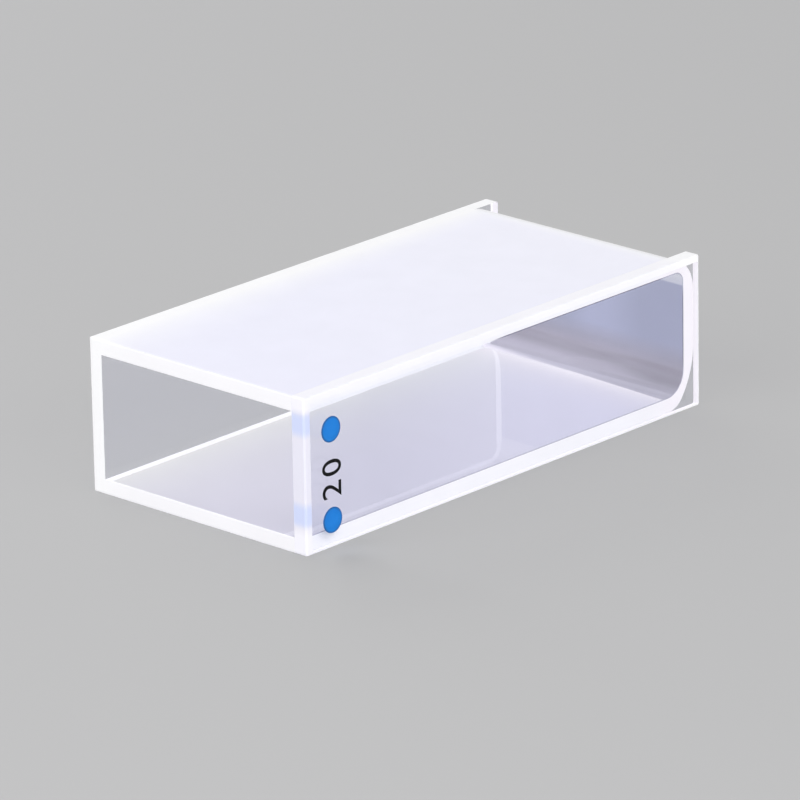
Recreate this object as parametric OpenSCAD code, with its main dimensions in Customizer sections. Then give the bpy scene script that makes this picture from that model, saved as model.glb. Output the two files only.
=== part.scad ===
// Rectangular spectrophotometer cell: a U-shaped frosted frame between two polished windows,
// fused face to face, open at one end. It lies on one frosted side, as it rests on a table.
// X is the light path, from window to window. Y is the cell's length, with the mouth at -Y and
// the base at +Y. Z is the width between the frosted sides, with the resting side on Z = 0.

/* [Cell] */
// Light path: clear distance between the inner faces of the two windows
path_len = 20; // [10:1:50]
// Whole length of the cell, from the mouth to the base
cell_len = 45; // [30:1:60]
// Whole width of the cell, across the two frosted sides
cell_w = 12.5; // [12.5:0.5:40]
// Ground arris along every outer edge of the finished cell, measured along each face
arris = 0.15; // [0.05:0.05:0.3]

/* [Frame] */
// Thickness of the frame's two legs and of its base
wall = 1.25; // [1:0.05:2]
// Outer radius of the frame's corner between the base and the resting side, by that side
lower_r = 2; // [1.5:0.1:2.5]
// Wider outer radius on which the same corner sweeps up the base
lower_sweep_r = 7; // [6.5:0.5:9]
// How far up the base that sweep runs
lower_rise = 5; // [4:0.1:5.2]
// Inner radius of the same corner
lower_inner_r = 1.9; // [1.5:0.1:2.5]
// Outer radius of the frame's corner between the base and the upper side
upper_r = 2.9; // [1.5:0.1:3.5]
// Inner radius of the same corner
upper_inner_r = 0.8; // [0.4:0.1:2]

/* [Windows] */
// Thickness of each window plate
window_t = 1.25; // [1:0.05:2]

/* [Orientation dots] */
// Diameter of each enamel dot
dot_d = 2.05; // [1.5:0.05:2.5]
// Thickness of the enamel standing on the window
dot_t = 0.05; // [0.03:0.01:0.1]
// Distance from the mouth to the middle of the row of dots
dot_from_mouth = 2.85; // [2:0.05:5]
// Distance between the middles of the two dots
dot_pitch = 7.2; // [4:0.1:7.4]
// How far the row's middle lies below the middle of the window
dot_drop = 0.48; // [0:0.02:0.5]

/* [Hidden] */
$fn = 96;
// Half the light path: the plane where each window meets the frame
half_path = path_len / 2;
// Half the cell's length
half_len = cell_len / 2;
// Whole thickness of the cell across its windows' outer faces
cell_t = path_len + 2 * window_t;
// Height of the row of dots over the resting side
dot_z = cell_w / 2 - dot_drop;
// How far a cutting outline runs past the edge it cuts
past = 1;

// Rectangle a by b about its middle, with the arris cut off each corner
module arrised_rectangle(a, b) {
    intersection() {
        square([a, b], center = true);
        rotate(45) square((a + b) / sqrt(2) - sqrt(2) * arris, center = true);
    }
}

// Finished outside of the fused cell: a block ground to size, with an arris on all its edges
module ground_block() {
    translate([0, 0, cell_w / 2]) intersection() {
        translate([0, 0, -cell_w / 2]) linear_extrude(cell_w) arrised_rectangle(cell_t, cell_len);
        rotate([90, 0, 90]) translate([0, 0, -cell_t / 2]) linear_extrude(cell_t)
            arrised_rectangle(cell_len, cell_w);
        rotate([90, 0, 0]) translate([0, 0, -half_len]) linear_extrude(cell_len)
            arrised_rectangle(cell_t, cell_w);
    }
}

// Outline of a bar from y0 and z0, ly long and lz wide, with its two far corners rounded. The
// lower one is a list: its radius by the lower side, the radius on which it sweeps up the end,
// and how far up that runs. The two arcs meet on the line through their centres
module round_end_outline(y0, z0, ly, lz, low, r_up) {
    r = low[0];
    sweep = low[1];
    rise = low[2];
    meet = sweep > r ? asin((rise - r) / (sweep - r)) : 0;
    turn_y = ly - sweep + (sweep - r) * cos(meet);
    translate([y0, z0]) {
        square([turn_y, rise]);
        translate([0, rise]) square([ly, lz - rise - r_up]);
        translate([0, lz - r_up]) square([ly - r_up, r_up]);
        translate([turn_y, r]) circle(r = r);
        translate([ly - r_up, lz - r_up]) circle(r = r_up);
        if (sweep > r) translate([ly - sweep, rise]) intersection() {
            circle(r = sweep);
            polygon([[0, 0], [2 * sweep, 0], 2 * sweep * [cos(meet), -sin(meet)]]);
        }
    }
}

// U-shaped profile of the frame: its outer outline less the inside of the cell. The inner
// corners are tighter than the outer ones, so the wall is a little thinner there
module frame_profile() {
    difference() {
        round_end_outline(-half_len, 0, cell_len, cell_w,
                          [lower_r, lower_sweep_r, lower_rise], upper_r);
        round_end_outline(-half_len - past, wall, cell_len + past - wall, cell_w - 2 * wall,
                          [lower_inner_r, lower_inner_r, lower_inner_r], upper_inner_r);
    }
}

// Frame: two legs joined by the base, with rounded corners, as long across as the light path
module frame() {
    color([0.93, 0.94, 0.97]) intersection() {
        translate([-half_path, 0, 0]) rotate([90, 0, 90]) linear_extrude(path_len) frame_profile();
        ground_block();
    }
}

// Window plate fused to one side of the frame, side = 1 at +X and -1 at -X. Its square corners
// stand past the frame's rounded ones
module window_plate(side) {
    color([0.80, 0.86, 0.97]) intersection() {
        translate([side * (half_path + window_t / 2), 0, cell_w / 2])
            cube([window_t, cell_len, cell_w], center = true);
        ground_block();
    }
}

// Window that carries the orientation dots
module marked_window() { window_plate(1); }

// Window without dots
module plain_window() { window_plate(-1); }

// Enamel dot on the marked window, side = 1 for the upper one and -1 for the lower one
module enamel_dot(side) {
    color([0.05, 0.35, 0.85])
    translate([half_path + window_t, dot_from_mouth - half_len, dot_z + side * dot_pitch / 2])
        rotate([0, 90, 0]) cylinder(d = dot_d, h = dot_t);
}

module upper_dot() { enamel_dot(1); }

module lower_dot() { enamel_dot(-1); }

frame();
marked_window();
plain_window();
upper_dot();
lower_dot();
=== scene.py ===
"""Models and dresses a fused quartz cell: a ground U frame between two polished windows."""

import logging
import math
from collections.abc import Callable, Iterator
from contextlib import contextmanager
from dataclasses import dataclass, field
from enum import Enum
from functools import reduce

import bmesh
import bpy
from bpy.types import Material, Node, NodeTree, Object
from bpy.types import NodeSocket as Socket
from mathutils import Matrix, Vector


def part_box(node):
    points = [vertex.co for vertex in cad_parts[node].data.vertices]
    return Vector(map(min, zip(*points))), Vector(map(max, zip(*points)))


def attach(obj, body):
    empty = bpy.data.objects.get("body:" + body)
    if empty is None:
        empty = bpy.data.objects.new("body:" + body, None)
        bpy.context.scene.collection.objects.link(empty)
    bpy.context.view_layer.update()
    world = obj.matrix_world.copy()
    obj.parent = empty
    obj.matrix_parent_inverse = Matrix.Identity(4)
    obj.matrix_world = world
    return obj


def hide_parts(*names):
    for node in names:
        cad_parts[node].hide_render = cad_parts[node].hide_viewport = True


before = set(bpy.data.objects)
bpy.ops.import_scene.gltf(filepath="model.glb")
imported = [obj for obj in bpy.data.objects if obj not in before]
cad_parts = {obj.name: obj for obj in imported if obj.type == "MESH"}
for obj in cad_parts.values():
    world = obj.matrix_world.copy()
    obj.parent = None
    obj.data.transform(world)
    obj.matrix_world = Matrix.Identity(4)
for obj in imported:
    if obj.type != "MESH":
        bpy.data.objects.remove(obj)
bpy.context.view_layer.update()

LOG = logging.getLogger("cuvette")
MM = 0.001
HAIR = 1e-6  # slack in metres when parts of a mesh are picked by place
FACING = 0.99  # a face looks along an axis where its normal's part along it passes this
QUARTZ_INDEX = 1.458
MOST_NOISE = (0.3, 0.7)  # nearly all of a noise pattern lies between these
GROUND_PITS = (0.25, 0.01 * MM)  # how strong and how deep the pits of a ground face are
CREASE_SLANT = 0.058  # how far the crease runs along the cell for each metre across it

Colour = tuple[float, float, float]
Place = tuple[float, float, float]
Span = tuple[float, float]
UP: Span = (0.0, 1.0)
DOWN: Span = (1.0, 0.0)
Sockets = bpy.types.bpy_prop_collection
Test = Callable[[Vector, Vector], bool]


class Side(Enum):
    """Which of the two windows a plate is, as its direction along the light path."""

    MARKED = 1
    PLAIN = -1


class Slot(Enum):
    """What a face of the glass is."""

    POLISHED = "polished flat"
    GROUND = "ground flat or edge"
    JOINT = "fused to the next piece"
    WORKED = "inside of a base corner"
    CREASE = "line where the floor of the cell turns up into its base corner"
    BASE = "ground base and its corners"
    END = "ground end at the mouth"
    LIT_END = "ground strip that the dots' colour reaches"
    SEAM = "fine line where a fused joint ends at the cavity"
    MARK = "fired enamel"


class Effect(Enum):
    """An effect that several finishes share, by its node group's name."""

    GRAIN = "ground_grain"
    HAZE = "polish_haze"
    GLOW = "seam_glow"


# ---- modelling by operators


def deselect() -> None:
    """Leave edit mode and deselect every object."""
    if bpy.context.mode != "OBJECT":
        bpy.ops.object.mode_set(mode="OBJECT")
    bpy.ops.object.select_all(action="DESELECT")


@contextmanager
def shaping(piece: Object) -> Iterator[None]:
    """Hold one piece in edit mode.

    Args:
        piece: The mesh object that the operators inside the block act on.
    """
    deselect()
    piece.select_set(True)
    bpy.context.view_layer.objects.active = piece
    bpy.ops.object.mode_set(mode="EDIT")
    yield
    bpy.ops.object.mode_set(mode="OBJECT")


def pick(mode: str, test: Test) -> int:
    """Select parts of the mesh in edit mode by their place.

    Args:
        mode: VERT, EDGE or FACE.
        test: Takes a vertex's place twice, an edge's two ends, or a face's centre and normal.

    Returns:
        How many were selected.
    """
    bpy.ops.mesh.select_mode(type=mode)
    bpy.ops.mesh.select_all(action="DESELECT")
    mesh = bmesh.from_edit_mesh(bpy.context.edit_object.data)
    count = 0
    for part in {"VERT": mesh.verts, "EDGE": mesh.edges, "FACE": mesh.faces}[mode]:
        if mode == "VERT":
            a, b = part.co, part.co
        elif mode == "EDGE":
            a, b = part.verts[0].co, part.verts[1].co
        else:
            a, b = part.calc_center_median(), part.normal
        if test(a, b):
            part.select_set(True)
            count += 1
    mesh.select_flush_mode()
    bmesh.update_edit_mesh(bpy.context.edit_object.data)
    return count


def settle(piece: Object, name: str, angle: float = 12.0) -> None:
    """Name a piece, put its place into its mesh, and give it soft shading on curves only.

    Args:
        piece: The finished mesh object.
        name: What the piece is called.
        angle: Faces that meet within this many degrees are shaded as one curve.
    """
    deselect()
    piece.name = piece.data.name = name
    piece.select_set(True)
    bpy.context.view_layer.objects.active = piece
    bpy.ops.object.transform_apply()
    bpy.ops.object.shade_smooth_by_angle(angle=math.radians(angle))
    weigh = piece.modifiers.new("even shading", "WEIGHTED_NORMAL")
    weigh.keep_sharp = True
    bpy.ops.object.modifier_apply(modifier=weigh.name)
    piece.select_set(False)


def merge_doubles() -> None:
    """Merge what lies in one place in the mesh in edit mode, all of which is left selected."""
    bpy.ops.mesh.select_all(action="SELECT")
    bpy.ops.mesh.remove_doubles(threshold=HAIR)


def square_up() -> None:
    """Merge doubles and turn every face of the mesh in edit mode outwards."""
    merge_doubles()
    bpy.ops.mesh.normals_make_consistent(inside=False)


def thicken(by: float) -> None:
    """Extrude the sheet in edit mode along the light path and square it up.

    Args:
        by: How far, and which way along X.
    """
    bpy.ops.mesh.select_all(action="SELECT")
    bpy.ops.mesh.extrude_region_move(TRANSFORM_OT_translate={"value": (by, 0.0, 0.0)})
    square_up()


# ---- sizes of the glass


@dataclass(frozen=True)
class Rounding:
    """A rounded base corner: a tight arc by the leg, and a wide one that sweeps up the base."""

    tight: float
    wide: float
    rise: float

    @classmethod
    def even(cls, radius: float) -> "Rounding":
        """A corner on one arc."""
        return cls(radius, radius, radius)

    @property
    def meet(self) -> float:
        """How far the wide arc turns before the tight one takes over, in radians."""
        return math.asin((self.rise - self.tight) / max(self.wide - self.tight, HAIR))

    @property
    def run(self) -> float:
        """How far before the base the corner begins along the leg."""
        return self.wide - (self.wide - self.tight) * math.cos(self.meet)

    def grown(self, by: float) -> "Rounding":
        """The same corner on a line moved outwards."""
        return Rounding(self.tight + by, self.wide + by, self.rise + by)

    def holds(self, u: float, v: float) -> bool:
        """Say whether a place lies inside the corner or on its edge.

        Args:
            u: How far the place lies before the base's end.
            v: How far it lies from the leg's side.

        Returns:
            True inside the corner.
        """
        if min(u, v) < -HAIR:
            return False
        if u >= self.run or v >= self.rise:
            return True
        if math.atan2(self.rise - v, self.wide - u) <= self.meet:
            return math.hypot(self.wide - u, self.rise - v) < self.wide + HAIR
        return math.hypot(self.run - u, self.tight - v) < self.tight + HAIR


@dataclass(frozen=True)
class Outline:
    """A line round the frame's section: how far it lies inside the cell's edge, and its corners."""

    inset: float
    lower: Rounding
    upper: Rounding

    def grown(self, by: float) -> "Outline":
        """The same line moved outwards all round."""
        return Outline(self.inset - by, self.lower.grown(by), self.upper.grown(by))

    def corner(self, upper: bool) -> Rounding:
        """One of the two base corners."""
        return self.upper if upper else self.lower


@dataclass(frozen=True)
class CellShape:
    """The sizes that the frame and both windows share, in metres."""

    half_path: float
    half_length: float
    width: float
    window: float
    outside: Outline = Outline(0.0, Rounding(2.0 * MM, 7.0 * MM, 5.0 * MM), Rounding.even(2.9 * MM))
    cavity: Outline = Outline(1.25 * MM, Rounding.even(1.9 * MM), Rounding.even(0.8 * MM))
    arris: float = 0.15 * MM
    arris_steps: int = 2
    arris_swell: float = 0.6  # past 0.5 the arris is fuller than a quarter round
    spare: float = 5.0 * MM  # how far an outline runs out past the mouth until it is cut off
    arc_steps: int = 36  # for a quarter turn

    @classmethod
    def of_frame(cls) -> "CellShape":
        """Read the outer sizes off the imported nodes.

        Returns:
            The cell's sizes.
        """
        low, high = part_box("frame")
        window_low, window_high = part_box("marked_window")
        return cls(
            half_path=high[0],
            half_length=high[1],
            width=high[2] - low[2],
            window=window_high[0] - window_low[0],
        )

    def turn_start(self, line: Outline, upper: bool) -> float:
        """Where along the cell one base corner of a line begins."""
        return self.half_length - line.inset - line.corner(upper).run

    def from_corner(self, line: Outline, place: Vector, upper: bool) -> tuple[float, float]:
        """How far a place lies before a line's base end, and how far from its leg's side."""
        side = self.width - place.z if upper else place.z
        return self.half_length - line.inset - place.y, side - line.inset

    def within(self, line: Outline, place: Vector) -> bool:
        """Say whether a place in the section lies on or inside a line that is open at the mouth."""
        upper = place.z > self.width / 2
        return line.corner(upper).holds(*self.from_corner(line, place, upper))

    def in_corner(self, place: Vector) -> bool:
        """True if a place lies past the frame's rounding, in a window's bare corner."""
        return place.y > 0 and not self.within(self.outside.grown(-5 * HAIR), place)

    def in_cavity(self, place: Vector, beyond: float = 0.0) -> bool:
        """True if a place lies in the cavity's outline, or in that outline grown by a distance."""
        return self.within(self.cavity.grown(beyond), place)

    def add_outline(self, x: float, line: Outline) -> Object:
        """Add a flat face with rounded base corners that runs out past the mouth.

        Args:
            x: The plane across the light path that the face lies in.
            line: The face's edge.

        Returns:
            The face's object.
        """
        deselect()
        bpy.ops.mesh.primitive_plane_add(
            size=1.0, location=(x, -self.spare / 2, self.width / 2), rotation=(0.0, math.pi / 2, 0.0)
        )
        piece = bpy.context.active_object
        across, along = self.width - 2 * line.inset, 2 * (self.half_length - line.inset) + self.spare
        piece.scale = (across, along, 1.0)
        bpy.ops.object.transform_apply()
        with shaping(piece):
            for upper in (True, False):
                self.round_corner(line, upper)
        return piece

    def round_corner(self, line: Outline, upper: bool) -> None:
        """Round one base corner of the face in edit mode.

        A corner of two arcs is first cut off along the line that both touch, and then each end
        of the cut is rounded.

        Args:
            line: The face's edge.
            upper: The corner by the upper leg, or else the lower one.
        """
        corner = line.corner(upper)
        rest = math.pi / 2 - corner.meet
        before = corner.run - corner.tight * math.tan(rest / 2)
        beside = corner.rise - corner.wide * math.tan(corner.meet / 2)
        if corner.meet:
            self.pick_at(line, upper, 0.0, 0.0)
            bpy.ops.mesh.bevel(affect="VERTICES", offset=before, segments=1)
            self.pick_at(line, upper, 0.0, before)
            lift = before - beside if upper else beside - before
            bpy.ops.transform.translate(value=(0.0, 0.0, lift))
            self.pick_at(line, upper, 0.0, beside)
            self.round_vertex(corner.wide, corner.meet)
        self.pick_at(line, upper, before, 0.0)
        self.round_vertex(corner.tight, rest)
        merge_doubles()

    def pick_at(self, line: Outline, upper: bool, u: float, v: float) -> None:
        """Select one vertex of the face in edit mode.

        Args:
            line: The face's edge.
            upper: The vertex is by the upper leg's side, or else by the lower one's.
            u: How far it lies before the line's base end.
            v: How far it lies from that side.
        """

        def there(a: Vector, _: Vector) -> bool:
            """True for the vertex at that place."""
            near = self.from_corner(line, a, upper)
            return abs(near[0] - u) < HAIR and abs(near[1] - v) < HAIR

        if pick("VERT", there) != 1:
            raise RuntimeError(f"no single vertex at {u:.6f}, {v:.6f}")

    def round_vertex(self, radius: float, turn: float) -> None:
        """Round the selected vertex on an arc.

        Args:
            radius: The arc's radius.
            turn: How far the outline turns at the vertex, in radians.
        """
        half = turn / 2
        middle = 1.0 - (1.0 / math.cos(half) - 1.0) / (2.0 * math.tan(half) * math.sin(half))
        bpy.ops.mesh.bevel(
            affect="VERTICES",
            offset=radius * math.tan(half),
            segments=round(self.arc_steps * turn / (math.pi / 2)),
            profile=middle**2,
        )

    def sheet(self, x: float, seam: float = 0.0) -> Object:
        """Draw the frame's section as a flat sheet, open at the mouth and rounded at the base.

        Args:
            x: The plane across the light path that the sheet lies in.
            seam: How wide the line is that ends the fused band at the cavity. With none, the
                cavity stays open.

        Returns:
            The fused band, and inside it the seam's line and the cavity's face.
        """
        rim = self.add_outline(x, self.outside)
        piece = self.add_outline(x, self.cavity.grown(seam))
        rim.select_set(True)
        piece.select_set(True)
        bpy.ops.object.join()
        with shaping(piece):
            pick("FACE", lambda _, __: True)
            bpy.ops.mesh.delete(type="ONLY_FACE")
            pick("EDGE", lambda _, __: True)
            bpy.ops.mesh.bridge_edge_loops()
            if seam:
                pick("EDGE", lambda *ends: all(self.in_cavity(end, seam) for end in ends))
                bpy.ops.mesh.edge_face_add()
                bpy.ops.mesh.inset(thickness=seam, use_even_offset=True)
            bpy.ops.mesh.select_all(action="SELECT")
            bpy.ops.mesh.bisect(
                plane_co=(0.0, -self.half_length, 0.0), plane_no=(0.0, -1.0, 0.0), clear_outer=True
            )
        return piece

    def break_edges(self) -> None:
        """Grind the arris along the selected edges."""
        steps, swell = self.arris_steps, self.arris_swell
        bpy.ops.mesh.bevel(offset=self.arris, segments=steps, profile=swell)


# ---- the glass


@dataclass
class CellPiece:
    """One piece of the cell: its mesh, and what each of its faces is."""

    shape: CellShape
    name: str
    piece: Object = field(init=False)

    def build(self) -> None:
        """Model the piece, as each kind of piece does in its own way."""
        raise NotImplementedError

    def slot_of(self, centre: Vector, normal: Vector) -> Slot:
        """Say what a face is from its centre and its normal. On a mark, all are enamel."""
        return Slot.MARK

    def complete(self, finishes: dict[Slot, Material], node: str = "", slot: str = "") -> None:
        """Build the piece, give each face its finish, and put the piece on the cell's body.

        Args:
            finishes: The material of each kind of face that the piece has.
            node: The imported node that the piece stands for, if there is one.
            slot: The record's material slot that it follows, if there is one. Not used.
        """
        self.build()
        order = list(finishes)
        for made in finishes.values():
            self.piece.data.materials.append(made)
        for face in self.piece.data.polygons:
            face.material_index = order.index(self.slot_of(face.center, face.normal))
        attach(self.piece, "root")
        if node:
            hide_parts(node)
        LOG.info("%s: %d faces", self.name, len(self.piece.data.polygons))


@dataclass
class GroundFrame(CellPiece):
    """The U of two legs and a base, round-cornered at the base, that keeps the windows apart."""

    mouth_edge: float = 0.05 * MM
    clearance: float = 0.002 * MM  # keeps the two faces of a fused joint apart
    crease: float = 0.65 * MM
    base_begins: float = 0.85 * MM  # how far past the inner arcs' start the outside is base
    flat: float = 0.9999  # a face of the cavity is no part of its arcs past this, as FACING
    end: float = 0.5  # a face is at the mouth where it looks out of the cell past this

    def build(self) -> None:
        """Extrude the band of the section along the light path and ease the mouth's edges."""
        s = self.shape
        reach = s.half_path - self.clearance
        self.piece = s.sheet(-reach)
        with shaping(self.piece):
            thicken(2 * reach)
            self.pick_rim(inner=False)
            s.break_edges()
            self.pick_rim(inner=True)
            bpy.ops.mesh.bevel(offset=self.mouth_edge, segments=1)
        settle(self.piece, self.name)

    def pick_rim(self, inner: bool) -> None:
        """Select the mouth's two long edges by the cavity, or its two outer ones.

        Args:
            inner: The edges by the cavity.
        """
        s = self.shape

        def on_rim(a: Vector, b: Vector) -> bool:
            """True for such an edge."""
            level = all(abs(p.y + s.half_length) < HAIR for p in (a, b)) and abs(a.z - b.z) < HAIR
            return level and (HAIR < a.z < s.width - HAIR) == inner

        pick("EDGE", on_rim)

    def slot_of(self, centre: Vector, normal: Vector) -> Slot:
        """Say what a face of the frame is.

        Args:
            centre: The face's centre.
            normal: Its normal.

        Returns:
            What it is.
        """
        s = self.shape
        if abs(normal.x) > FACING:
            return Slot.JOINT
        upper = centre.z > s.width / 2
        past = centre.y - s.turn_start(s.cavity, upper)
        if not s.in_cavity(centre):
            if normal.y < -self.end:
                return Slot.END
            return Slot.BASE if past > self.base_begins else Slot.GROUND
        if max(abs(normal.y), abs(normal.z)) > self.flat:
            return Slot.POLISHED
        return Slot.CREASE if past < self.crease and not upper else Slot.WORKED


@dataclass
class Window(CellPiece):
    """One polished plate with ground edges, square-cornered, so its base corners stand bare."""

    side: Side
    margins: tuple[float, float] = (0.0, 0.0)  # ground strips at the mouth and the upper edge
    seam: float = 0.08 * MM

    @property
    def inner(self) -> float:
        """Where the plate's inner face lies along the light path."""
        return self.side.value * self.shape.half_path

    @property
    def outer(self) -> float:
        """Where the plate's outer face lies along the light path."""
        return self.side.value * (self.shape.half_path + self.shape.window)

    def build(self) -> None:
        """Square the section's corners, extrude it to a plate, and ease the plate's edges."""
        s = self.shape
        self.piece = s.sheet(self.inner, self.seam)
        with shaping(self.piece):
            for upper in (True, False):
                self.square_corner(upper)
            square_up()
            thicken(self.outer - self.inner)
            self.pick_outer_face()
            bpy.ops.mesh.dissolve_faces()
            pick("EDGE", self.outer_edge)
            s.break_edges()
            self.cut_margins()
        settle(self.piece, self.name)

    def square_corner(self, upper: bool) -> None:
        """Fill one base corner of the sheet out to the plate's square corner.

        Args:
            upper: The corner at the upper edge, or else the lower one.
        """
        s = self.shape
        corner = (self.inner, s.half_length, s.width if upper else 0.0)
        pick("EDGE", lambda *ends: all(self.on_rounding(end, upper) for end in ends))
        bpy.ops.mesh.extrude_edges_move()
        bpy.ops.transform.resize(value=(0.0, 0.0, 0.0), center_override=corner)
        merge_doubles()

    def on_rounding(self, place: Vector, upper: bool) -> bool:
        """Say whether a vertex of the sheet belongs to the rounding of its outer line.

        Args:
            place: Where the vertex is.
            upper: The corner at the upper edge, or else the lower one.

        Returns:
            True if it does.
        """
        s = self.shape
        rounding = s.outside.corner(upper)
        u, v = s.from_corner(s.outside, place, upper)
        if u > rounding.run + HAIR or v > rounding.rise + HAIR:
            return False
        return not s.in_cavity(place, s.cavity.inset / 3)

    def outer_edge(self, a: Vector, b: Vector) -> bool:
        """Pick out the outer face's four edges and the four short edges at the plate's corners.

        Args:
            a: One end of an edge.
            b: Its other end.

        Returns:
            True for one of these.
        """
        s = self.shape
        if abs(a.x - self.outer) < HAIR and abs(b.x - self.outer) < HAIR:
            return True
        ends = all(
            abs(abs(p.y) - s.half_length) < HAIR and min(p.z, s.width - p.z) < HAIR for p in (a, b)
        )
        return ends and abs(a.x - b.x) > HAIR

    def pick_outer_face(self) -> None:
        """Select the plate's outer face."""
        pick("FACE", lambda centre, _: abs(centre.x - self.outer) < HAIR)

    def cut_margins(self) -> None:
        """Part the outer face along the strips that grinding has left dull."""
        s = self.shape
        mouth, upper = self.margins
        along = Vector((0.0, mouth - s.half_length, 0.0)), Vector((0.0, 1.0, 0.0))
        across = Vector((0.0, 0.0, s.width - upper)), Vector((0.0, 0.0, 1.0))
        for margin, (place, normal) in ((mouth, along), (upper, across)):
            if margin:
                self.pick_outer_face()
                bpy.ops.mesh.bisect(plane_co=place, plane_no=normal)

    def slot_of(self, centre: Vector, normal: Vector) -> Slot:
        """Say what a face of the plate is.

        Args:
            centre: The face's centre.
            normal: Its normal.

        Returns:
            What it is.
        """
        s = self.shape
        mouth, upper = self.margins
        outwards = normal.x * self.side.value
        if outwards > FACING:
            if centre.z > s.width - upper:
                return Slot.GROUND
            return Slot.LIT_END if centre.y < mouth - s.half_length else Slot.POLISHED
        if outwards < -FACING:
            if s.in_cavity(centre) or s.in_corner(centre):
                return Slot.POLISHED
            return Slot.SEAM if s.in_cavity(centre, self.seam) else Slot.JOINT
        marked_end = self.side is Side.MARKED and centre.y < s.arris - s.half_length
        return Slot.LIT_END if marked_end else Slot.GROUND


# ---- the marks


@dataclass
class EnamelDot(CellPiece):
    """A fired dot of enamel with a rounded rim and a low crown."""

    node: str
    sides: int = 96
    sink: float = 0.004 * MM
    rim: float = 0.03 * MM
    rim_steps: int = 4
    crown: float = 0.006 * MM
    crown_steps: tuple[Span, ...] = ((0.28, 0.55), (0.32, 0.3), (0.3, 0.15))  # inwards and up
    level: float = 0.999  # the top is what faces outwards past this, as FACING

    def build(self) -> None:
        """Turn a low drum into a crowned dot that sits where its node is."""
        low, high = (Vector(p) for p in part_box(self.node))
        radius = (high.y - low.y) / 2
        foot, top = low.x - self.sink, high.x - self.crown
        deselect()
        bpy.ops.mesh.primitive_cylinder_add(
            vertices=self.sides,
            radius=radius,
            depth=top - foot,
            location=((foot + top) / 2, (low.y + high.y) / 2, (low.z + high.z) / 2),
            rotation=(0.0, math.pi / 2, 0.0),
        )
        self.piece = bpy.context.active_object
        bpy.ops.object.transform_apply()
        with shaping(self.piece):
            pick("EDGE", lambda *ends: all(abs(end.x - top) < HAIR for end in ends))
            bpy.ops.mesh.bevel(offset=self.rim, segments=self.rim_steps, profile=0.5)
            for share, rise in self.crown_steps:
                pick("FACE", lambda c, n: n.x > self.level and c.x > top - self.rim / 2)
                bpy.ops.mesh.inset(thickness=share * radius)
                bpy.ops.transform.translate(value=(rise * self.crown, 0.0, 0.0))
                top += rise * self.crown
        settle(self.piece, self.name, angle=40.0)


@dataclass
class PathNumber(CellPiece):
    """The light path in millimetres, printed between the dots and read with the mouth up."""

    words: str = "20"
    size: float = 2.75 * MM
    height: float = 2.03 * MM
    thickness: float = 0.03 * MM
    from_mouth: float = 2.85 * MM
    centre_z: float = 5.44 * MM
    spacing: float = 1.25
    curve_steps: int = 12
    sink: float = 0.002 * MM

    def build(self) -> None:
        """Set the figures, give them a film's thickness, and stand them on the marked window."""
        s = self.shape
        deselect()
        bpy.ops.object.text_add(location=(0.0, 0.0, 0.0))
        words = bpy.context.active_object
        words.data.body = self.words
        words.data.size = self.size
        words.data.space_character = self.spacing
        words.data.extrude = self.thickness / 2
        words.data.resolution_u = self.curve_steps
        words.data.align_x = "CENTER"
        words.data.align_y = "CENTER"
        bpy.ops.object.convert(target="MESH")
        self.piece = bpy.context.active_object
        low, high = bounds_of(self.piece)
        face = s.half_path + s.window - self.sink
        turn = Matrix(((0, 0, 1, 0), (0, -1, 0, 0), (1, 0, 0, 0), (0, 0, 0, 1)))
        grow = self.height / (high.y - low.y)
        stretch = Matrix.Diagonal((grow, grow, 1.0, 1.0))
        middle = Matrix.Translation(-Vector(((low.x + high.x) / 2, (low.y + high.y) / 2, low.z)))
        place = Matrix.Translation((face, self.from_mouth - s.half_length, self.centre_z))
        self.piece.matrix_world = place @ turn @ stretch @ middle
        settle(self.piece, self.name, angle=30.0)
        with shaping(self.piece):
            square_up()


def bounds_of(piece: Object) -> list[Vector]:
    """The lowest and highest corners of a mesh in its own coordinates."""
    along = list(zip(*(vertex.co for vertex in piece.data.vertices)))
    return [Vector([end(places) for places in along]) for end in (min, max)]


# ---- finishes


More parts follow.
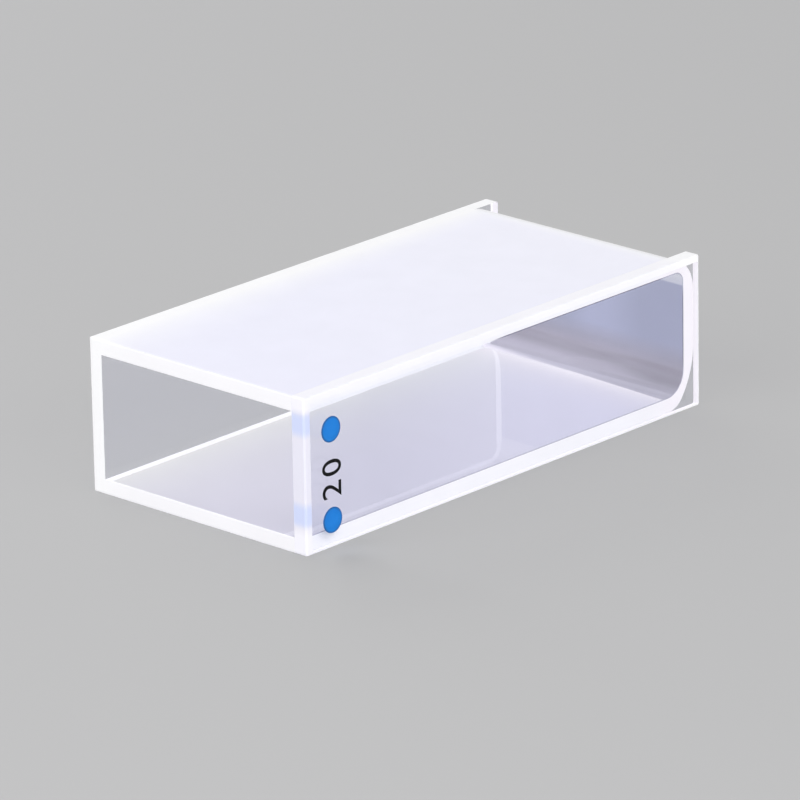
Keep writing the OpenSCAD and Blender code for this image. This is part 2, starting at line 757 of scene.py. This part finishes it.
@dataclass
class Wiring:
    """A material's or a group's node tree, with short calls to add nodes to it."""

    tree: NodeTree

    def node(self, kind: str, **inputs: object) -> Node:
        """Add a node and set or link its inputs.

        Args:
            kind: The node's type name without its ShaderNode prefix.
            inputs: Input names, spaces as underscores, or i0, i1 for inputs by number, with a
                socket to link or a value; a name that is the node's own setting is set on it.

        Returns:
            The node.
        """
        made = self.tree.nodes.new("ShaderNode" + kind)
        for name, value in inputs.items():
            if hasattr(made, name):
                setattr(made, name, value)
                continue
            key = int(name[1:]) if name[0] == "i" and name[1:].isdigit() else name.replace("_", " ")
            socket = made.inputs[key]
            if isinstance(value, Socket):
                self.link(value, socket)
            else:
                socket.default_value = (*value, 1.0) if socket.type == "RGBA" else value
        return made

    def link(self, source: Socket, target: Socket) -> None:
        """Lead one socket into another."""
        self.tree.links.new(source, target)

    def effect(self, effect: Effect, **inputs: object) -> Sockets:
        """The outputs of a shared effect, placed with its own values."""
        group = bpy.data.node_groups[effect.value]
        return self.node("Group", node_tree=group, **inputs).outputs

    def place(self) -> Sockets:
        """Where on the piece a point lies, along X, Y and Z."""
        return self.node("SeparateXYZ", Vector=self.node("TexCoord").outputs["Object"]).outputs

    def maths(self, operation: str, a: object, b: object = 0.0) -> Socket:
        """One Math node's output."""
        return self.node("Math", operation=operation, i0=a, i1=b).outputs[0]

    def times(self, *values: object) -> Socket:
        """The product of two or more values."""
        return reduce(lambda a, b: self.maths("MULTIPLY", a, b), values)

    def most(self, *values: object) -> Socket:
        """The greatest of two or more values."""
        return reduce(lambda a, b: self.maths("MAXIMUM", a, b), values)

    def mix(self, share: object, a: object, b: object) -> Socket:
        """Mix two values by a share that varies over the surface."""
        return self.node("Mix", data_type="FLOAT", i0=share, i2=a, i3=b).outputs[0]

    def blend(self, share: object, a: object, b: object) -> Socket:
        """Mix two colours by a share that varies over the surface."""
        return self.node("Mix", data_type="RGBA", i0=share, i6=a, i7=b).outputs[2]

    def scaled(self, colour: object, by: Socket) -> Socket:
        """A colour made lighter or darker by a factor that varies over the surface."""
        return self.node("VectorMath", operation="SCALE", i0=colour, Scale=by).outputs[0]

    def ramp(self, value: Socket, span: Span, to: Span = UP, shape: str = "LINEAR") -> Socket:
        """Carry a value from one range to another, held at its ends."""
        limits = {"i1": span[0], "i2": span[1], "i3": to[0], "i4": to[1]}
        return self.node("MapRange", interpolation_type=shape, i0=value, **limits).outputs[0]

    def ramps(self, *steps: tuple[Socket, Span, Span]) -> Socket:
        """The product of several ramps."""
        return self.times(*(self.ramp(*step) for step in steps))

    def noise(self, place: Socket, size: object, **settings: float) -> Socket:
        """A random pattern with features of about a size in metres."""
        scale = self.maths("DIVIDE", 1.0, size)
        return self.node("TexNoise", Vector=place, Scale=scale, **settings).outputs["Fac"]


def new_group(
    effect: Effect, inputs: dict[str, float], outputs: tuple[str, ...]
) -> tuple[Wiring, Sockets, Sockets]:
    """Make a shader group with plain value sockets.

    Args:
        effect: What the group is.
        inputs: Each input's name and default.
        outputs: Each output's name.

    Returns:
        The group's wiring, what it is given, and what it puts out.
    """
    tree = bpy.data.node_groups.new(effect.value, "ShaderNodeTree")
    for label, value in inputs.items():
        given = tree.interface.new_socket(label, in_out="INPUT", socket_type="NodeSocketFloat")
        given.default_value = value
    for label in outputs:
        tree.interface.new_socket(label, in_out="OUTPUT", socket_type="NodeSocketFloat")
    ends = tree.nodes.new("NodeGroupInput"), tree.nodes.new("NodeGroupOutput")
    return Wiring(tree), ends[0].outputs, ends[1].inputs


def build_grain() -> None:
    """Ground glass: fine pits over broader clouds from the grinding wheel."""
    sizes = {"Pit Size": 0.12 * MM, "Cloud Size": 3.0 * MM}
    w, given, out = new_group(Effect.GRAIN, sizes, ("Pits", "Clouds"))
    place = w.node("TexCoord").outputs["Object"]
    w.link(w.noise(place, given["Pit Size"], Detail=3.0, Roughness=0.6), out["Pits"])
    w.link(w.noise(place, given["Cloud Size"], Detail=4.0, Roughness=0.55), out["Clouds"])


def build_haze() -> None:
    """Polished surfaces: a faint drifting haze and a few fine wipe marks."""
    sizes = {"Haze Size": 6.0 * MM, "Wipe Size": 0.4 * MM}
    w, given, out = new_group(Effect.HAZE, sizes, ("Haze", "Wipes"))
    place = w.node("TexCoord").outputs["Object"]
    drawn = w.node("Mapping", Vector=place, Rotation=(0.5, 0.2, 0.3), Scale=(1.0, 0.06, 1.0))
    w.link(w.noise(place, given["Haze Size"], Detail=3.0), out["Haze"])
    w.link(w.noise(drawn.outputs[0], given["Wipe Size"], Detail=2.0), out["Wipes"])


def build_glow() -> None:
    """Masks for painted light, where light gathers in the glass: along the plain window's seam, and
    towards the base.
    """
    sizes = {
        "Seam Place": -10.0 * MM,
        "Seam Width": 2.2 * MM,
        "End Place": 20.3 * MM,
        "End Width": 1.4 * MM,
    }
    w, given, out = new_group(Effect.GLOW, sizes, ("Seam", "End"))
    place = w.place()
    for side, axis, turn in (("Seam", "X", 1.0), ("End", "Y", -1.0)):
        away = w.times(w.maths("SUBTRACT", place[axis], given[side + " Place"]), turn)
        share = w.maths("DIVIDE", w.most(away, 0.0), given[side + " Width"])
        w.link(w.maths("EXPONENT", w.times(share, -1.0)), out[side])


def crease_line(w: Wiring, place: Sockets) -> Socket:
    """How far along the cell a place lies, on lines as askew as the crease at the base."""
    return w.maths("ADD", place["Y"], w.times(place["X"], CREASE_SLANT))


def let_lamps_through(w: Wiring, shader: Socket, tint: Colour, passes: float = 1.0) -> Socket:
    """Swap a shader for a clear one where lamps' rays and scattered rays meet it.

    Args:
        w: The material's wiring.
        shader: What is seen.
        tint: The colour of the light that passes.
        passes: How much of such light passes. The rest meets what is seen.

    Returns:
        The mixed shader.
    """
    clear = w.node("BsdfTransparent", Color=tint).outputs[0]
    if passes < 1.0:
        clear = w.node("MixShader", i0=passes, i1=shader, i2=clear).outputs[0]
    path = w.node("LightPath").outputs
    for ray in ("Is Diffuse Ray", "Is Shadow Ray"):
        shader = w.node("MixShader", i0=path[ray], i1=shader, i2=clear).outputs[0]
    return shader


def pitted(w: Wiring, grain: Sockets, pits: Span) -> Socket:
    """The normal of a surface with fine pits of a strength and a depth."""
    return w.node("Bump", Height=grain["Pits"], Strength=pits[0], Distance=pits[1]).outputs[0]


def pitted_face(
    w: Wiring,
    grain: Sockets,
    colour: Socket,
    rough: Span,
    pits: Span = GROUND_PITS,
    **settings: object,
) -> Socket:
    """The shader of a surface that fine pits roughen.

    Args:
        w: The material's wiring.
        grain: What the grain effect puts out.
        colour: The surface's colour.
        rough: The roughness between the pits and in them.
        pits: The pits' strength and depth.
        settings: Other inputs of the shader.

    Returns:
        The shader.
    """
    return w.node(
        "BsdfPrincipled",
        Base_Color=colour,
        Roughness=w.ramp(grain["Pits"], MOST_NOISE, rough),
        Normal=pitted(w, grain, pits),
        **settings,
    ).outputs[0]


@dataclass(frozen=True)
class Finish:
    """One material of the cell or of the studio."""

    name: str

    def make(self) -> Material:
        """Make the material and lay out its nodes.

        Returns:
            The material.
        """
        made = bpy.data.materials.new(self.name)
        made.use_nodes = True
        made.node_tree.nodes.clear()
        w = Wiring(made.node_tree)
        w.link(self.surface(w), w.node("OutputMaterial").inputs["Surface"])
        return made

    def surface(self, w: Wiring) -> Socket:
        """The shader of the surface, from its own nodes."""
        raise NotImplementedError


@dataclass(frozen=True)
class PolishedQuartz(Finish):
    """Clear faces, from optical polish with a trace of haze to a corner worked with a wheel."""

    tint: Colour = (0.985, 0.985, 0.995)
    pass_tint: Colour = (0.985, 0.985, 0.99)
    rough: Span = (0.0, 0.035)
    hazed: Span = (0.35, 0.75)
    marks: float = 0.015
    mark_depth: float = 0.02 * MM

    def surface(self, w: Wiring) -> Socket:
        """Clear glass under haze and wipe marks.

        Args:
            w: The material's wiring.

        Returns:
            The shader.
        """
        haze = w.effect(Effect.HAZE)
        bump = w.node("Bump", Height=haze["Wipes"], Strength=self.marks, Distance=self.mark_depth)
        glass = w.node(
            "BsdfPrincipled",
            Base_Color=self.tint,
            Roughness=w.ramp(haze["Haze"], self.hazed, self.rough),
            IOR=QUARTZ_INDEX,
            Transmission_Weight=1.0,
            Normal=bump.outputs[0],
        )
        return let_lamps_through(w, glass.outputs[0], self.pass_tint)


@dataclass(frozen=True)
class GroundQuartz(Finish):
    """Ground faces: white with scattered light, whiter by the seams and towards the base as painted
    light, darker from within as painted shade, and on some a painted glow.
    """

    body: Colour
    # Painted light and shade: the colour seen from within the glass, unlike the colour from outside.
    inside: Colour
    # Painted light: the white that the faces turn to where light gathers.
    edge: Colour = (0.985, 0.985, 1.0)
    # Painted highlight along the crease, seen from within.
    crease: Colour = (0.99, 0.955, 0.995)
    crease_place: float = 19.7 * MM
    crease_width: float = 1.6 * MM
    inner_seam: float = 4.5 * MM  # how wide the seam's glow is, seen from within
    # Painted light: the outside grows whiter towards the base.
    whitens: Span = (-20.0 * MM, 20.0 * MM)  # where along the cell the outside grows whiter
    whiteness: Span = (0.0, 0.33)
    through: float = 0.1
    passes: float = 0.9
    pass_tint: Colour = (0.97, 0.97, 0.98)
    outer_painted_glow: float = 0.0  # painted glow, emission for light that the glass pipes to the face, seen from outside
    held: float = 0.0  # the same, seen from within
    crease_glow: float = 0.0  # what the crease adds to it
    rough: Span = (0.5, 0.65)
    clouding: Span = (0.98, 1.0)
    gloss: float = 0.06

    def surface(self, w: Wiring) -> Socket:
        """Ground glass, with one colour from outside and another, with painted light and shade, from
        within.

        Args:
            w: The material's wiring.

        Returns:
            The shader.
        """
        grain = w.effect(Effect.GRAIN)
        within = w.node("NewGeometry").outputs["Backfacing"]
        # Seen from within, the face shows its painted light and shade.
        colour = w.blend(within, self.outer_colour(w), self.inner_colour(w))
        shaded = w.scaled(colour, w.ramp(grain["Clouds"], MOST_NOISE, self.clouding))
        # Painted glow: emission that stands in for light piped through the glass.
        crease_glow = w.times(self.inner_light(w)["End"], self.crease_glow)
        painted_glow_share = w.mix(within, self.outer_painted_glow, w.maths("ADD", crease_glow, self.held))
        face = pitted_face(
            w,
            grain,
            shaded,
            self.rough,
            IOR=QUARTZ_INDEX,
            Specular_IOR_Level=self.gloss,
            Emission_Color=w.scaled(shaded, painted_glow_share),
            Emission_Strength=1.0,
        )
        glow = w.node("BsdfTranslucent", Color=shaded, Normal=pitted(w, grain, GROUND_PITS))
        seen = w.node("MixShader", i0=self.through, i1=face, i2=glow.outputs[0])
        return let_lamps_through(w, seen.outputs[0], self.pass_tint, self.passes)

    def inner_light(self, w: Wiring) -> Sockets:
        """The masks of painted light where light gathers, as seen from within the glass."""
        sizes = {"End_Place": self.crease_place, "End_Width": self.crease_width}
        return w.effect(Effect.GLOW, Seam_Width=self.inner_seam, **sizes)

    def outer_colour(self, w: Wiring) -> Socket:
        """The colour from outside, with painted light: whiter in narrow bands by the far seam and at
        the base, and more so towards the base.
        """
        light, whiter = w.effect(Effect.GLOW), w.ramp(w.place()["Y"], self.whitens, self.whiteness)
        return w.blend(w.most(light["Seam"], light["End"], whiter), self.body, self.edge)

    def inner_colour(self, w: Wiring) -> Socket:
        """The colour from within the glass, with a wider painted glow by the seam and a painted
        highlight on the crease.
        """
        light = self.inner_light(w)
        return w.blend(light["End"], w.blend(light["Seam"], self.inside, self.edge), self.crease)


@dataclass(frozen=True)
class GroundLegs(GroundQuartz):
    """The legs' ground faces, which grow lighter from within towards the base, as painted light."""

    # Painted shade past the crease, as dark as the base seen from within.
    turned: Colour = (0.53, 0.51, 0.60)
    turn: Span = (20.0 * MM, 20.2 * MM)  # where the floor has ended, on lines along the crease
    # Painted light: lighter along the cell and towards the marked window.
    lightens: Span = (-3.0 * MM, 15.0 * MM)  # along the cell and towards the marked window
    lightness: Span = (0.93, 1.08)

    def inner_colour(self, w: Wiring) -> Socket:
        """The colour from within the glass, with painted light, and painted shade as dark as the base
        past the crease.

        Args:
            w: The material's wiring.

        Returns:
            The colour.
        """
        place = w.place()
        # Painted light towards the base and the marked window.
        light = w.ramp(w.maths("ADD", place["X"], place["Y"]), self.lightens, self.lightness)
        floor = w.scaled(super().inner_colour(w), light)
        # Painted shade past the crease.
        return w.blend(w.ramp(crease_line(w, place), self.turn), floor, self.turned)


@dataclass(frozen=True)
class GroundBase(GroundQuartz):
    """The base's ground face, which shows its wide corner in painted shade, its top in painted light,
    and the grinding from within.
    """

    # Painted shade on the wide corner, seen from within.
    corner: Colour = (0.48, 0.45, 0.535)
    corner_fades: Span = (2.7 * MM, 4.7 * MM)
    # Painted shade at the foot, lighter than on the corner.
    foot: Colour = (0.62, 0.595, 0.69)
    foot_fades: Span = (0.4 * MM, 2.3 * MM)
    foot_shares: Span = (0.9, 0.0)
    streaks: Span = (0.84, 1.0)
    streak_scale: float = 900.0
    streak_stretch: Place = (0.09, 1.0, 1.0)
    streak_noise: Span = (0.35, 0.65)
    # Painted shade: the corner grows darker across the cell.
    dims: Span = (1.0 * MM, 7.0 * MM)  # where the corner grows darker, across the cell
    dimmed: Span = (1.0, 0.88)
    # Painted light near the top of the base.
    brightens: tuple[tuple[Span, Span], ...] = (
        ((9.72 * MM, 9.86 * MM), (0.0, 0.5)), ((9.86 * MM, 11.2 * MM), (0.0, 0.4))
    )
    line_drops: Span = (2.0 * MM, 7.0 * MM)  # where the dark line sinks, across the cell
    line_drop: Span = (0.0, 0.4 * MM)
    line_rises: Span = (1.35 * MM, 1.8 * MM)
    line_falls: Span = (1.95 * MM, 2.45 * MM)
    line_deepens: Span = (3.0 * MM, 6.5 * MM)
    line_depth: Span = (0.14, 0.16)
    patch_left: Span = (-3.5 * MM, -0.5 * MM)
    patch_right: Span = (1.5 * MM, 5.0 * MM)
    patch_height: Span = (3.5 * MM, 4.8 * MM)
    patch_light: Span = (0.0, 0.2)

    def inner_colour(self, w: Wiring) -> Socket:
        """The colour from within the glass: painted shade, warm and streaked low down, and painted
        light at the top.

        Args:
            w: The material's wiring.

        Returns:
            The colour.
        """
        height, across = w.place()["Z"], w.place()["X"]
        # Painted shade low down on the wide corner.
        low = w.ramp(height, self.corner_fades, DOWN)
        streaks = w.ramp(self.grinding_lines(w), self.streak_noise, self.streaks)
        corner = w.mix(low, 1.0, w.times(streaks, w.ramp(across, self.dims, self.dimmed)))
        line = w.maths("SUBTRACT", 1.0, self.dark_line(w, height, across))
        patch = w.maths("ADD", 1.0, self.light_patch(w, height, across))
        warm = w.blend(low, self.inside, self.corner)
        warm = w.blend(w.ramp(height, self.foot_fades, self.foot_shares), warm, self.foot)
        # Painted light at the top.
        high = w.maths("ADD", *(w.ramp(height, *step) for step in self.brightens))
        return w.blend(high, w.scaled(warm, w.times(corner, line, patch)), self.edge)

    def dark_line(self, w: Wiring, height: Socket, across: Socket) -> Socket:
        """How much darker the base is along a line above its corner.

        Args:
            w: The material's wiring.
            height: How high a place lies.
            across: Where it lies across the cell.

        Returns:
            A share, 0 where there is no line.
        """
        height = w.maths("ADD", height, w.ramp(across, self.line_drops, self.line_drop))
        rise, fall = (height, self.line_rises, UP), (height, self.line_falls, DOWN)
        return w.ramps(rise, fall, (across, self.line_deepens, self.line_depth))

    def light_patch(self, w: Wiring, height: Socket, across: Socket) -> Socket:
        """How much lighter the middle of the base is, above its wide corner."""
        sides = (across, self.patch_left, UP), (across, self.patch_right, DOWN)
        return w.ramps(*sides, (height, self.patch_height, self.patch_light))

    def grinding_lines(self, w: Wiring) -> Socket:
        """Long uneven lines along the light path.

        Args:
            w: The material's wiring.

        Returns:
            The pattern, about 0.5 in the middle.
        """
        place = w.node("TexCoord").outputs["Object"]
        drawn = w.node("Mapping", Vector=place, Scale=self.streak_stretch).outputs[0]
        return w.node("TexNoise", Vector=drawn, Scale=self.streak_scale, Detail=3.0).outputs["Fac"]


@dataclass(frozen=True)
class PittedLine(Finish):
    """A fine line in the glass that pits roughen, each kind in its own colour."""

    rough: Span = (0.5, 0.65)
    gloss: float = 0.1
    pass_tint: Colour = (0.9, 0.9, 0.92)

    def surface(self, w: Wiring) -> Socket:
        """A pitted line that lets lamps through.

        Args:
            w: The material's wiring.

        Returns:
            The shader.
        """
        grain, colour = w.effect(Effect.GRAIN), self.colour(w)
        face = pitted_face(w, grain, colour, self.rough, Specular_IOR_Level=self.gloss)
        return let_lamps_through(w, face, self.pass_tint)

    def colour(self, w: Wiring) -> Socket:
        """The colour along the line, from its own nodes."""
        raise NotImplementedError


@dataclass(frozen=True)
class SeamLine(PittedLine):
    """The fine line where a joint ends at the cavity: a dark joint line, with painted shade that
    makes it dark up the base and by the upper leg.
    """

    lost: Colour = (0.95, 0.945, 1.0)
    # Painted shade on the joint line: faint, dark and deep.
    faint: Colour = (0.46, 0.455, 0.56)
    dark: Colour = (0.22, 0.215, 0.285)
    deep: Colour = (0.11, 0.11, 0.155)
    begins: Span = (-1.2 * MM, 0.4 * MM)  # along the cell, where the upper line turns dark
    ends: Span = (18.5 * MM, 19.3 * MM)  # the same, where it turns faint again
    rises: Span = (3.1 * MM, 4.0 * MM)  # up the base, where its line turns deep
    tops: Span = (9.2 * MM, 10.0 * MM)  # the same, where it gives way to the upper line

    def colour(self, w: Wiring) -> Socket:
        """A colour whose painted shade changes along the seam.

        Args:
            w: The material's wiring.

        Returns:
            The colour.
        """
        place = w.place()
        upper = w.blend(w.ramp(place["Y"], self.begins), self.lost, self.dark)
        upper = w.blend(w.ramp(place["Y"], self.ends), upper, self.faint)
        base = w.blend(w.ramp(place["Z"], self.rises), self.faint, self.deep)
        return w.blend(w.ramp(place["Z"], self.tops), base, upper)


@dataclass(frozen=True)
class LitCrease(PittedLine):
    """The line where the floor turns up into the base, a painted highlight that fades up the curve
    into painted shade.
    """

    # Painted highlight on the crease.
    bright: Colour = (0.93, 0.885, 0.965)
    # Painted shade up the curve.
    dim: Colour = (0.56, 0.54, 0.635)
    fades: Span = (18.95 * MM, 19.65 * MM)
    # Painted shade grows darker across the cell.
    dims: Span = (-1.0 * MM, 7.0 * MM)  # where the curve grows darker, across the cell
    dimmed: Span = (1.0, 0.86)

    def colour(self, w: Wiring) -> Socket:
        """A painted highlight that fades into painted shade away from the floor.

        Args:
            w: The material's wiring.

        Returns:
            The colour.
        """
        place = w.place()
        curve = w.scaled(self.dim, w.ramp(place["X"], self.dims, self.dimmed))
        fade = w.ramp(crease_line(w, place), self.fades, shape="SMOOTHSTEP")
        return w.blend(fade, self.bright, curve)


@dataclass(frozen=True)
class TintedEnd(Finish):
    """The marked window's ground end, white with pale blue painted light where the dots shine into
    it.
    """

    heights: tuple[float, ...]  # how high each dot's middle stands
    body: Colour = (0.82, 0.805, 0.90)
    # Painted light: the dots' blue shining into the end.
    tint: Colour = (0.61, 0.685, 0.955)
    tips: Colour = (0.925, 0.915, 0.985)
    above: float = 0.98 * MM  # how far above a dot its colour comes out of the end
    spread: Span = (0.4 * MM, 1.3 * MM)
    strength: Span = (0.85, 0.0)
    clouds: float = 0.1
    width: float = 12.5 * MM
    low_tip: Span = (1.5 * MM, 2.4 * MM)  # where the lower tip's white fades out
    high_tip: Span = (0.85 * MM, 1.4 * MM)  # the same, below the upper side
    rough: Span = (0.45, 0.6)
    gloss: float = 0.3
    pass_tint: Colour = (0.87, 0.87, 0.89)

    def surface(self, w: Wiring) -> Socket:
        """Ground glass with painted blue light by each dot and white tips.

        Args:
            w: The material's wiring.

        Returns:
            The shader.
        """
        grain, height = w.effect(Effect.GRAIN), w.place()["Z"]
        share = w.times(grain["Clouds"], self.clouds)
        # Painted blue light above each dot.
        for centre in self.heights:
            away = w.maths("ABSOLUTE", w.maths("SUBTRACT", height, centre + self.above))
            share = w.most(share, w.ramp(away, self.spread, self.strength, "SMOOTHSTEP"))
        low = w.ramp(height, self.low_tip, DOWN)
        high = w.ramp(w.maths("SUBTRACT", self.width, height), self.high_tip, DOWN)
        colour = w.blend(w.most(low, high), w.blend(share, self.body, self.tint), self.tips)
        sheen = {"IOR": QUARTZ_INDEX, "Specular_IOR_Level": self.gloss}
        face = pitted_face(w, grain, colour, self.rough, **sheen)
        return let_lamps_through(w, face, self.pass_tint)


@dataclass(frozen=True)
class OpenJoint(Finish):
    """The frame's side of a fused joint, where glass runs on into glass and nothing is seen."""

    def surface(self, w: Wiring) -> Socket:
        """A shader that lets everything through."""
        return w.node("BsdfTransparent", Color=(1.0, 1.0, 1.0)).outputs[0]


@dataclass(frozen=True)
class Enamel(Finish):
    """Fired colour: nearly even, with a soft gloss and fine pinholes."""

    colour: Colour
    deep: Colour
    rough: Span = (0.28, 0.42)
    gloss: float = 0.25
    rim: Colour = (0.014, 0.12, 0.36)
    dots: tuple[Vector, ...] = ()  # the middles of the dots that have a darker rim
    rim_from: Span = (0.80 * MM, 0.98 * MM)
    pinholes: Span = (0.2, 0.006 * MM)
    pinhole_size: float = 0.08 * MM
    cloud_size: float = 0.7 * MM

    def surface(self, w: Wiring) -> Socket:
        """Clouded colour with pinholes, darker round each dot's edge.

        Args:
            w: The material's wiring.

        Returns:
            The shader.
        """
        grain = w.effect(Effect.GRAIN, Pit_Size=self.pinhole_size, Cloud_Size=self.cloud_size)
        colour = w.blend(w.ramp(grain["Clouds"], MOST_NOISE), self.colour, self.deep)
        place = w.node("TexCoord").outputs["Object"]
        for middle in self.dots:
            away = w.node("VectorMath", operation="DISTANCE", i0=place, i1=middle).outputs["Value"]
            in_dot = w.maths("LESS_THAN", away, 2 * self.rim_from[1])
            colour = w.blend(w.times(in_dot, w.ramp(away, self.rim_from)), colour, self.rim)
        return pitted_face(w, grain, colour, self.rough, self.pinholes, Specular_IOR_Level=self.gloss)


@dataclass(frozen=True)
class FloorPaint(Finish):
    """The studio floor's faintly uneven pale finish."""

    colour: Colour = (0.50, 0.50, 0.505)
    second_tone: float = 0.985  # as a share of the colour
    drift_scale: float = 6.0
    rough: float = 0.85
    gloss: float = 0.03

    def surface(self, w: Wiring) -> Socket:
        """Matt paint that drifts between two near tones.

        Args:
            w: The material's wiring.

        Returns:
            The shader.
        """
        place = w.node("TexCoord").outputs["Object"]
        drift = w.node("TexNoise", Vector=place, Scale=self.drift_scale, Detail=3.0).outputs["Fac"]
        second = tuple(self.second_tone * part for part in self.colour)
        settings = {"Roughness": self.rough, "Specular_IOR_Level": self.gloss}
        colour = w.blend(drift, self.colour, second)
        return w.node("BsdfPrincipled", Base_Color=colour, **settings).outputs[0]


# ---- the studio


@dataclass
class Studio:
    """A pale floor, three soft lamps and an even sky."""

    sky_light: float = 0.32
    sky_seen: Colour = (0.50, 0.50, 0.505)
    floor_drop: float = 0.02 * MM
    floor_half: float = 3.0
    floor_cuts: int = 7
    lamp_size: float = 0.6
    lamp_distance: float = 0.8

    def build(self) -> None:
        """Lay the floor, hang the lamps and light the sky."""
        self.lay_floor()
        self.light_sky()
        self.hang("front", (-0.10, -1.0, 0.60), 4.03)
        self.hang("side", (1.0, -0.20, 0.38), 4.85)
        self.hang("far_side", (-1.0, 0.35, 0.45), 4.3)

    def lay_floor(self) -> None:
        """Make the floor and paint it."""
        deselect()
        bpy.ops.mesh.primitive_plane_add(size=2 * self.floor_half, location=(0, 0, -self.floor_drop))
        floor = bpy.context.active_object
        with shaping(floor):
            bpy.ops.mesh.subdivide(number_cuts=self.floor_cuts)
        settle(floor, "floor")
        floor.data.materials.append(FloorPaint("pale_floor").make())

    def light_sky(self) -> None:
        """Light evenly from all round, and show a pale ground where the sky itself is seen."""
        world = bpy.data.worlds.new("sky")
        bpy.context.scene.world = world
        world.use_nodes = True
        world.node_tree.nodes.clear()
        w = Wiring(world.node_tree)
        path = w.node("LightPath").outputs
        seen = w.most(path["Is Camera Ray"], path["Is Glossy Ray"], path["Is Transmission Ray"])
        light = w.node("Background", Color=(1.0, 1.0, 1.0), Strength=self.sky_light)
        shown = w.node("Background", Color=self.sky_seen, Strength=1.0)
        both = w.node("MixShader", i0=seen, i1=light.outputs[0], i2=shown.outputs[0])
        w.link(both.outputs[0], w.node("OutputWorld").inputs["Surface"])

    def hang(self, name: str, towards: Place, power: float) -> None:
        """Hang one soft square lamp that faces the cell.

        Args:
            name: The lamp's name.
            towards: The direction from the cell to the lamp, of any length.
            power: Its power in watts.
        """
        away = Vector(towards).normalized() * self.lamp_distance
        lamp = bpy.data.lights.new(name, "AREA")
        lamp.shape = "SQUARE"
        lamp.size = self.lamp_size
        lamp.energy = power
        hung = bpy.data.objects.new(name, lamp)
        bpy.context.scene.collection.objects.link(hung)
        hung.location = away
        hung.rotation_euler = away.to_track_quat("Z", "Y").to_euler()


@dataclass(frozen=True)
class Viewpoint:
    """The camera: where it stands round the cell, in degrees and metres."""

    azimuth: float = 43.176
    elevation: float = 19.254
    roll: float = -1.038
    distance: float = 0.55574
    lens: float = 326.2
    film: float = 36.0
    target: Place = (0.004617, -0.004971, 0.00625)

    def stand(self) -> None:
        """Set up the scene's camera."""
        az, el, roll = (math.radians(a) for a in (self.azimuth, self.elevation, self.roll))
        back = Vector((math.sin(az) * math.cos(el), -math.cos(az) * math.cos(el), math.sin(el)))
        right = (-back).cross(Vector((0, 0, 1))).normalized()
        up = right.cross(-back)
        across = math.cos(roll) * right + math.sin(roll) * up
        rise = math.cos(roll) * up - math.sin(roll) * right
        lens = bpy.data.cameras.new("camera")
        lens.lens = self.lens
        lens.sensor_width = self.film
        lens.sensor_fit = "HORIZONTAL"
        lens.clip_start, lens.clip_end = 0.01, 20.0
        camera = bpy.data.objects.new("camera", lens)
        turn = Matrix((across, rise, back)).transposed().to_4x4()
        camera.matrix_world = Matrix.Translation(Vector(self.target) + back * self.distance) @ turn
        bpy.context.scene.collection.objects.link(camera)
        bpy.context.scene.camera = camera


# ---- everything in order


def main() -> None:
    """Build the cell, its marks and the studio, in that order."""
    logging.basicConfig(level=logging.INFO, format="%(name)s: %(message)s")
    shape = CellShape.of_frame()
    for build in (build_grain, build_haze, build_glow):
        build()
    lavender, white, pure = (0.868, 0.868, 0.99), (0.935, 0.93, 0.99), (0.975, 0.968, 1.0)

    frosted = {
        Slot.POLISHED: PolishedQuartz("frame_polish").make(),
        # The legs: painted shade from within, and a painted glow by the crease.
        Slot.GROUND: GroundLegs("ground_frame", lavender, (0.82, 0.80, 0.935), crease_glow=0.1).make(),
        Slot.JOINT: OpenJoint("open_joint").make(),
        Slot.WORKED: PolishedQuartz("worked_corner", rough=(0.02, 0.1), marks=0.05).make(),
        # The base: painted shade from within.
        Slot.BASE: GroundBase("ground_base", lavender, (0.42, 0.44, 0.585)).make(),
        Slot.CREASE: LitCrease("lit_crease").make(),
        Slot.END: GroundQuartz("ground_end", pure, pure).make(),
    }
    GroundFrame(shape, "frame_glass").complete(frosted, "frame", "frosted_quartz")

    dots = ("upper_dot", "lower_dot")
    middles = tuple(sum(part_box(node), Vector()) / 2 for node in dots)
    plate = {
        Slot.POLISHED: PolishedQuartz("window_polish", tint=(0.94, 0.95, 1.0)).make(),
        # The plate's ground edges: a painted glow, seen from within.
        Slot.GROUND: GroundQuartz("ground_edge", white, pure, held=0.1).make(),
        Slot.SEAM: SeamLine("seam_line").make(),
        Slot.JOINT: GroundQuartz("fused_joint", pure, pure).make(),
        Slot.LIT_END: TintedEnd("ground_lit_end", tuple(middle.z for middle in middles)).make(),
    }
    marked = Window(shape, "marked_window_glass", Side.MARKED, (0.62 * MM, 0.57 * MM))
    marked.complete(plate, "marked_window", "clear_quartz")
    # The plain window's joint: a painted glow from outside.
    lit_joint = GroundQuartz("fused_joint_lit", pure, pure, through=0.5, outer_painted_glow=0.3)
    plate[Slot.JOINT] = lit_joint.make()
    del plate[Slot.LIT_END]
    plain = Window(shape, "plain_window_glass", Side.PLAIN)
    plain.complete(plate, "plain_window", "clear_quartz")

    blue = Enamel("blue_enamel_fired", (0.0065, 0.195, 0.66), (0.008, 0.215, 0.70), dots=middles)
    fired = {Slot.MARK: blue.make()}
    for node in dots:
        EnamelDot(shape, node + "_enamel", node).complete(fired, node, "blue_enamel")
    black = Enamel("black_enamel_fired", (0.004, 0.004, 0.005), (0.008, 0.008, 0.009), gloss=0.1)
    PathNumber(shape, "path_number").complete({Slot.MARK: black.make()})

    Studio().build()
    Viewpoint().stand()
    bpy.context.scene.view_settings.view_transform = "Standard"


if __name__ == "__main__":
    main()
